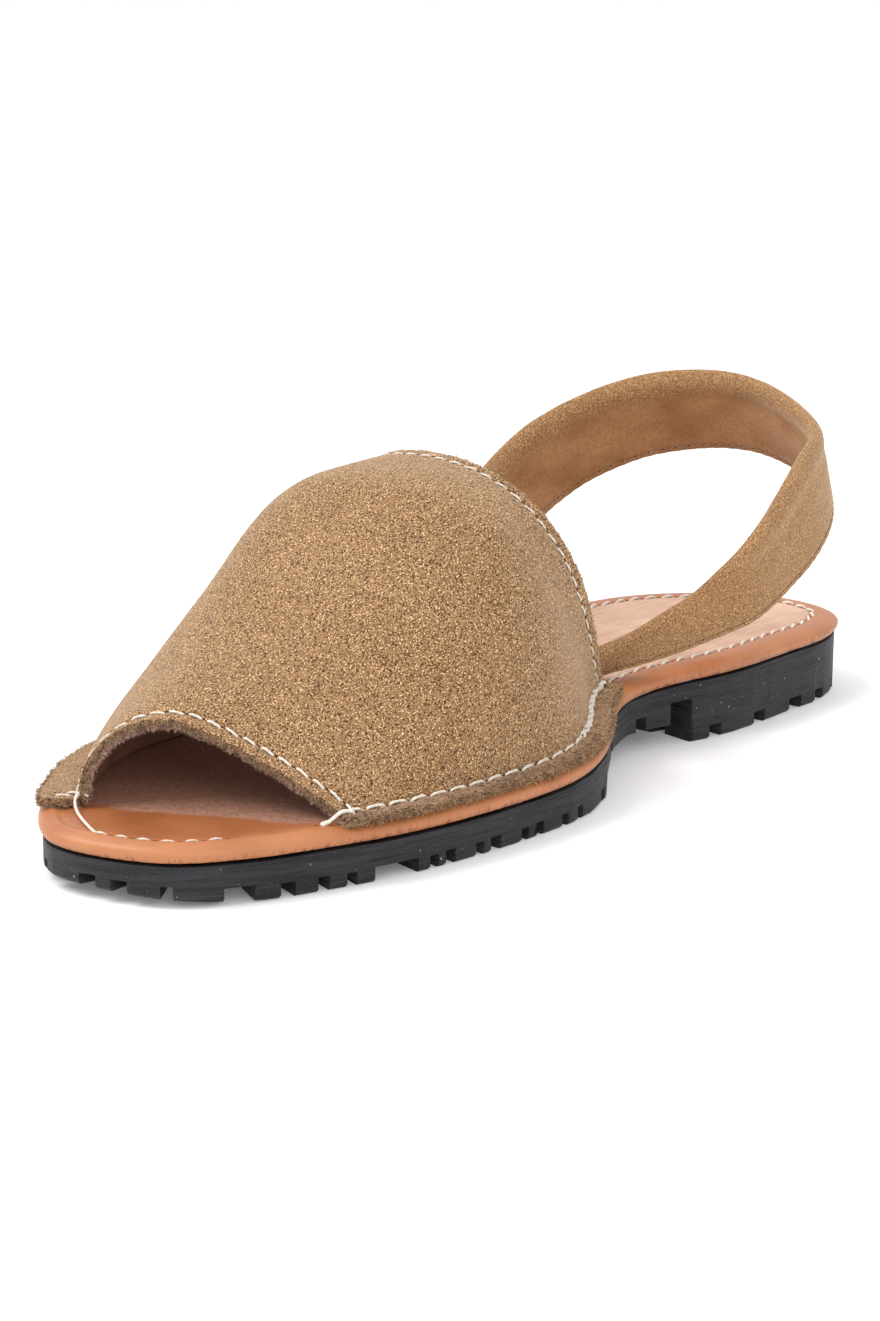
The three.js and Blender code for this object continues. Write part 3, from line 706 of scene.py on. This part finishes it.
def thread_material(name, low, high):
    material, shader, place = new_material(name, Roughness=0.75, Sheen_Weight=0.2)
    plies = place.mottle(0.3 * MM, 3)
    plies.between(0.3, 0.7).colour(low, high).feeds(shader, "Base Color")
    plies.bump(0.1 * MM).feeds(shader, "Normal")
    return material


thread = thread_material("thread", (0.55, 0.48, 0.4), (0.85, 0.8, 0.72))
brown_thread = thread_material("brown_thread", (0.16, 0.08, 0.036), (0.3, 0.165, 0.08))
# Painted shade: the needle holes are flat dark discs laid on the surface, not holes.
hole_shade, shader, place = new_material("needle_hole_shade", Roughness=1.0, Specular_IOR_Level=0.0)
place.mottle(0.4 * MM).colour((0.03, 0.014, 0.007), (0.09, 0.044, 0.022)).feeds(shader, "Base Color")


def copies(name, form, places, material):
    """One object of many copies of a small form, one at each place."""
    points, faces = [], []
    for where in places:
        first = len(points)
        points += [where @ point for point in form[0]]
        faces += [[first + index for index in face] for face in form[1]]
    data = bpy.data.meshes.new(name)
    data.from_pydata(points, [], faces)
    piece = bpy.data.objects.new(name, data)
    bpy.context.scene.collection.objects.link(piece)
    data.materials.append(material)
    only(piece)
    bpy.ops.object.shade_smooth_by_angle(angle=math.radians(60))
    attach(piece, "root")


def sew(name, line, surface, pitch=STITCH_PITCH, radius=0.3 * MM, length=0.78, yaw=0, lift=0.0,
        material=thread, hole=0.24 * MM):
    """A row of stitches on a surface, and dark discs of painted shade for the needle holes between them."""
    points = evenly(line, 0.25 * MM)
    last = len(points) - 1
    count = max(1, round(0.25 * MM * last / pitch))
    stitches, holes = [], []
    for index in range(count):
        middle = (index + 0.5) * last / count
        half = length / 2 * last / count
        ends = (round(middle + side * half) for side in (-1, 1))
        (start, turn_from), (finish, _) = (
            surface.find_nearest(points[max(0, min(last, end))])[:2] for end in ends)
        spot, normal = surface.find_nearest(points[round(middle)])[:2]
        if normal.dot(turn_from) < 0:
            normal = -normal
        wobble = noise.noise(spot * 900)
        along = finish - start
        size = along.length
        along.normalize()
        side_way = normal.cross(along).normalized()
        along = (along + side_way * math.tan(yaw + 0.1 * wobble)).normalized()
        side_way = normal.cross(along).normalized()
        up = along.cross(side_way).normalized()
        centre = (start + finish) / 2 + up * lift
        centre += up * max(0, (spot - centre).dot(up))
        thick = radius * (1 + 0.16 * wobble)
        turn = Matrix((along * size, side_way * thick, up * thick)).transposed().to_4x4()
        stitches.append(Matrix.Translation(centre) @ turn)
        gap, gap_normal = surface.find_nearest(points[round((index + 1) * last / count)])[:2]
        turn = Matrix((along * 2.1 * hole, side_way * hole, up * hole)).transposed().to_4x4()
        holes.append(Matrix.Translation(gap + gap_normal * 0.05 * MM) @ turn)
    copies(name, stitch_form, stitches, material)
    copies(name + "_holes", hole_form, holes, hole_shade)


def fray(name, rim, depth, count, reach, material):
    """Loose fibres that stand out of a raw edge, spread over its depth."""
    chance = random.Random(name)
    places = []
    for _ in range(count):
        index = chance.randrange(len(rim) - 1)
        here, there, share = rim[index], rim[index + 1], chance.random()
        root = here[0].lerp(there[0], share) - here[1] * depth * chance.random()
        along = (there[0] - here[0]).normalized()
        out = here[2] + here[1] * chance.uniform(-0.9, 0.5) + along * chance.uniform(-0.9, 0.9)
        out.normalize()
        side_way = out.cross(along * chance.uniform(-1, 1) + here[1] * chance.uniform(-1, 1)).normalized()
        up = out.cross(side_way)
        thick = chance.uniform(0.055, 0.11) * MM
        turn = Matrix((out * reach * chance.uniform(0.35, 1), side_way * thick, up * thick))
        places.append(Matrix.Translation(root - out * 0.05 * MM) @ turn.transposed().to_4x4())
    copies(name, fibre_form, places, material)


def lay_thread(name, points, radius):
    """A loose piece of thread as a round tube along a smooth line."""
    data = bpy.data.curves.new(name, "CURVE")
    data.dimensions = "3D"
    data.bevel_depth = radius
    data.bevel_resolution = 2
    data.use_fill_caps = True
    spline = data.splines.new("NURBS")
    spline.points.add(len(points) - 1)
    for knot, point in zip(spline.points, points):
        knot.co = (*point, 1)
    spline.use_endpoint_u = True
    spline.order_u = 4
    piece = bpy.data.objects.new(name, data)
    bpy.context.scene.collection.objects.link(piece)
    only(piece)
    bpy.ops.object.convert(target="MESH")
    piece.data.materials.append(thread)
    bpy.ops.object.shade_smooth()
    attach(piece, "root")


insole_tree = BVHTree.FromObject(insole, bpy.context.evaluated_depsgraph_get())
sew("front_edge_stitches", front_seam, suede_tree, yaw=-0.14)
sew("rear_edge_stitches", rear_seam, suede_tree, radius=0.26 * MM, yaw=0.1)
medial_fold, lateral_fold = (sorted(line, key=lambda point: point.x) for line in
                             sorted(fold_lines, key=lambda line: -sum(point.y for point in line)))
KNOTTED = 34 * MM  # of the medial crease at its rear end, where the thread runs to and fro
knot_end = medial_fold[0].x + KNOTTED
OVERLAP = 4 * MM
plain = [point for point in medial_fold if point.x > knot_end - OVERLAP]
sew("medial_flange_stitches", plain, suede_tree, pitch=FLANGE_PITCH, radius=0.36 * MM,
    lift=0.15 * MM)
to_and_fro = [point for point in medial_fold if point.x <= knot_end]
for name, yaw, lift in (("forth", 0.4, 0.3), ("back", -0.4, 0.5)):
    sew(f"medial_knot_{name}", to_and_fro, suede_tree, pitch=3.2 * MM, radius=0.46 * MM,
        length=0.95, yaw=yaw, lift=lift * MM, hole=0.05 * MM)
sew("lateral_flange_stitches", lateral_fold, suede_tree, pitch=4.6 * MM, radius=0.45 * MM,
    length=0.6, lift=0.2 * MM)
for number, line in enumerate(strap_lines):
    sew(f"strap_stitches_{number}", line, strap_tree, pitch=3.6 * MM, radius=0.16 * MM,
        material=brown_thread, hole=0.16 * MM)
in_front = [point.x + 0.53 * point.y > 0.1 for point in insole_seam]
first = next(index for index, shown in enumerate(in_front) if shown and not in_front[index - 1])
insole_seam = insole_seam[first:] + insole_seam[:first]
toe_count = sum(in_front)
sew("insole_stitches", insole_seam[toe_count - 1:] + insole_seam[:1], insole_tree,
    pitch=4.7 * MM, radius=0.42 * MM, length=0.8, yaw=0.3, lift=0.1 * MM)
toe_seam = sorted(insole_seam[:toe_count], key=lambda point: point.y)
shown = [point for point in toe_seam if 0.003 < point.y < 0.027]
sew("toe_stitches", shown, insole_tree, pitch=5.0 * MM, radius=0.26 * MM, length=0.6,
    yaw=0.04, lift=-0.08 * MM)

# The thread's ends: a long one over the flange's lateral corner, a cross stitch beside it, and a short thick
# one over its medial corner.
corner = lateral_fold[-1]
down = Vector((corner.x + 2.2 * MM, corner.y + 1.4 * MM, corner.z - 1.6 * MM))
seam_start = min(toe_seam, key=lambda point: abs(point.y - 0.002))
lay_thread("lateral_thread_end", [
    corner + Vector((-2.5, -0.6, 0.5)) * MM, corner + Vector((0, -0.4, 0.7)) * MM,
    corner + Vector((1.4, 0.2, 0)) * MM, down, down.lerp(seam_start, 0.5) + Vector((0.3, -0.5, 0.3)) * MM,
    seam_start + Vector((0, 0, 0.25)) * MM, seam_start + Vector((-0.4, 1.2, -0.6)) * MM], 0.33 * MM)
lay_thread("lateral_cross_stitch", [
    corner + Vector((-0.8, -4.2, -0.2)) * MM, corner + Vector((-0.8, -3.8, 0.35)) * MM,
    corner + Vector((-0.9, -1.5, 0.5)) * MM, corner + Vector((-1.0, 0.6, 0.8)) * MM,
    corner + Vector((-1.2, 1.6, 0.3)) * MM], 0.22 * MM)
corner = medial_fold[-1]
lay_thread("medial_thread_end", [
    corner + Vector((-1.5, 1.6, 0.2)) * MM, corner + Vector((-0.6, 1.2, 0.7)) * MM,
    corner + Vector((0.8, 0.6, 0.6)) * MM, corner + Vector((1.9, -0.2, -0.7)) * MM,
    corner + Vector((3.0, -1.0, -1.7)) * MM, corner + Vector((4.0, -1.6, -2.1)) * MM], 0.42 * MM)

fray("front_edge_fibres", front_rim, SKIN, 2200, 1.1 * MM, loose_fibre)
lining_rim = [(spot - normal * 1.15 * SKIN, normal, out) for spot, normal, out in front_rim]
fray("front_lining_fibres", lining_rim, LINING, 2400, 1.1 * MM, lining_edge)
fray("rear_edge_fibres", rear_rim, SKIN, 2200, 0.9 * MM, loose_fibre)
for number, rim in enumerate(flange_rims):
    fray(f"flange_fibres_{number}", rim, FLANGE, 4500, 1.4 * MM, loose_fibre)

# The stage: a plain white floor under soft studio light, a wide lamp above on the left and a weaker one in
# front, and a long lens as far away as it takes to see the shoe as the picture does.
bpy.ops.object.select_all(action="DESELECT")
bpy.ops.mesh.primitive_plane_add(size=12, location=(0, 0, 0))
floor = bpy.context.object
floor.name = "floor"
white, shader, place = new_material("white_floor", Roughness=0.9, Specular_IOR_Level=0.1)
shader.inputs["Base Color"].default_value = (0.9, 0.9, 0.91, 1)
shader.inputs["Emission Color"].default_value = (1, 1, 1, 1)
shader.inputs["Emission Strength"].default_value = 0.1
floor.data.materials.append(white)

world = bpy.data.worlds.new("studio")
bpy.context.scene.world = world
world.use_nodes = True
world.node_tree.nodes["Background"].inputs["Color"].default_value = (1, 1, 1, 1)
world.node_tree.nodes["Background"].inputs["Strength"].default_value = 1.0


def lamp(name, at, towards, size, power):
    data = bpy.data.lights.new(name, "AREA")
    data.shape = "SQUARE"
    data.size = size
    data.energy = power
    light = bpy.data.objects.new(name, data)
    bpy.context.scene.collection.objects.link(light)
    light.location = at
    light.rotation_euler = (Vector(towards) - Vector(at)).to_track_quat("-Z", "Y").to_euler()


lamp("key_lamp", (0.8, -0.6, 1.3), (0, 0, 0.03), 0.9, 17)
lamp("fill_lamp", (0.6, 1.1, 0.7), (0, 0, 0.03), 0.8, 5)

LENS_PIXELS = 2942.4  # focal length in pixels of a picture 1321 pixels high
forward = Vector((-0.73458, -0.6319, -0.24716))
upwards = Vector((-0.18281, -0.16647, 0.96895))
sideways = forward.cross(upwards).normalized()
upwards = sideways.cross(forward)
data = bpy.data.cameras.new("camera")
data.sensor_width = 36
data.lens = LENS_PIXELS * 36 / 1321
data.clip_end = 30
camera = bpy.data.objects.new("camera", data)
bpy.context.scene.collection.objects.link(camera)
turn = Matrix((sideways, upwards, -forward)).transposed().to_4x4()
camera.matrix_world = Matrix.Translation((0.5052, 0.42565, 0.19375)) @ turn
bpy.context.scene.camera = camera
bpy.context.scene.view_settings.view_transform = "Standard"
